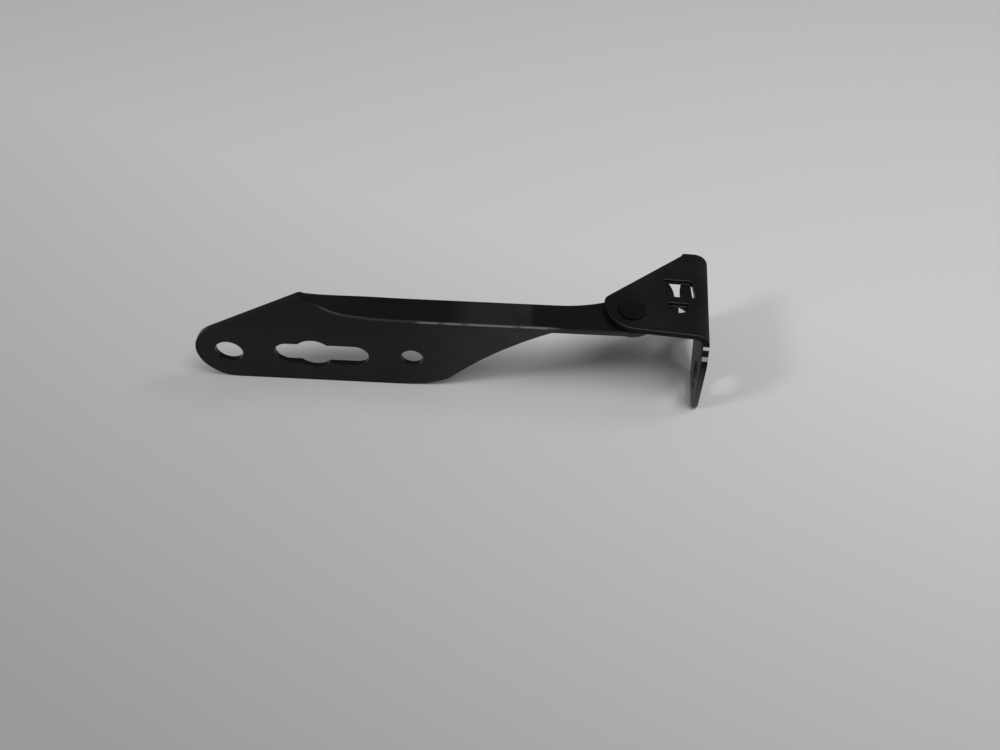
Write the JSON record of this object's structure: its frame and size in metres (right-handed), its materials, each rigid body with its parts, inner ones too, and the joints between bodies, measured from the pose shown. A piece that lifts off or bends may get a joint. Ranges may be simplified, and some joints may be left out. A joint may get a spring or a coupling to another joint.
{
  "type": "vehicle hood hinge",
  "caption": "Black stamped steel hood hinge: long hood arm on a riveted pivot, with a folded body bracket and bolt holes.",
  "frame": {"origin": "on the pivot's axis, at the level of the surface that the hinge stands on", "axes": "+Z along the pivot, +X from the hood arm's free end towards the body bracket, -Y out of the hood flange's bolting face"},
  "size_m": [0.2264, 0.054, 0.0541],
  "materials": {
    "arm_paint": "semi-gloss black coating",
    "bracket_paint": "semi-gloss black coating",
    "rivet_paint": "semi-gloss black coating over steel"
  },
  "bodies": {
    "bracket": {"body_bracket": "bracket_paint", "pivot_rivet": "rivet_paint"},
    "arm": {"hood_arm": "arm_paint"}
  },
  "joints": [
    {"name": "pivot", "type": "hinge", "parent": "bracket", "child": "arm", "pos_m": [0, 0, 0.04], "axis": [0, 0, 1], "range_deg": [-90, 20]}
  ]
}
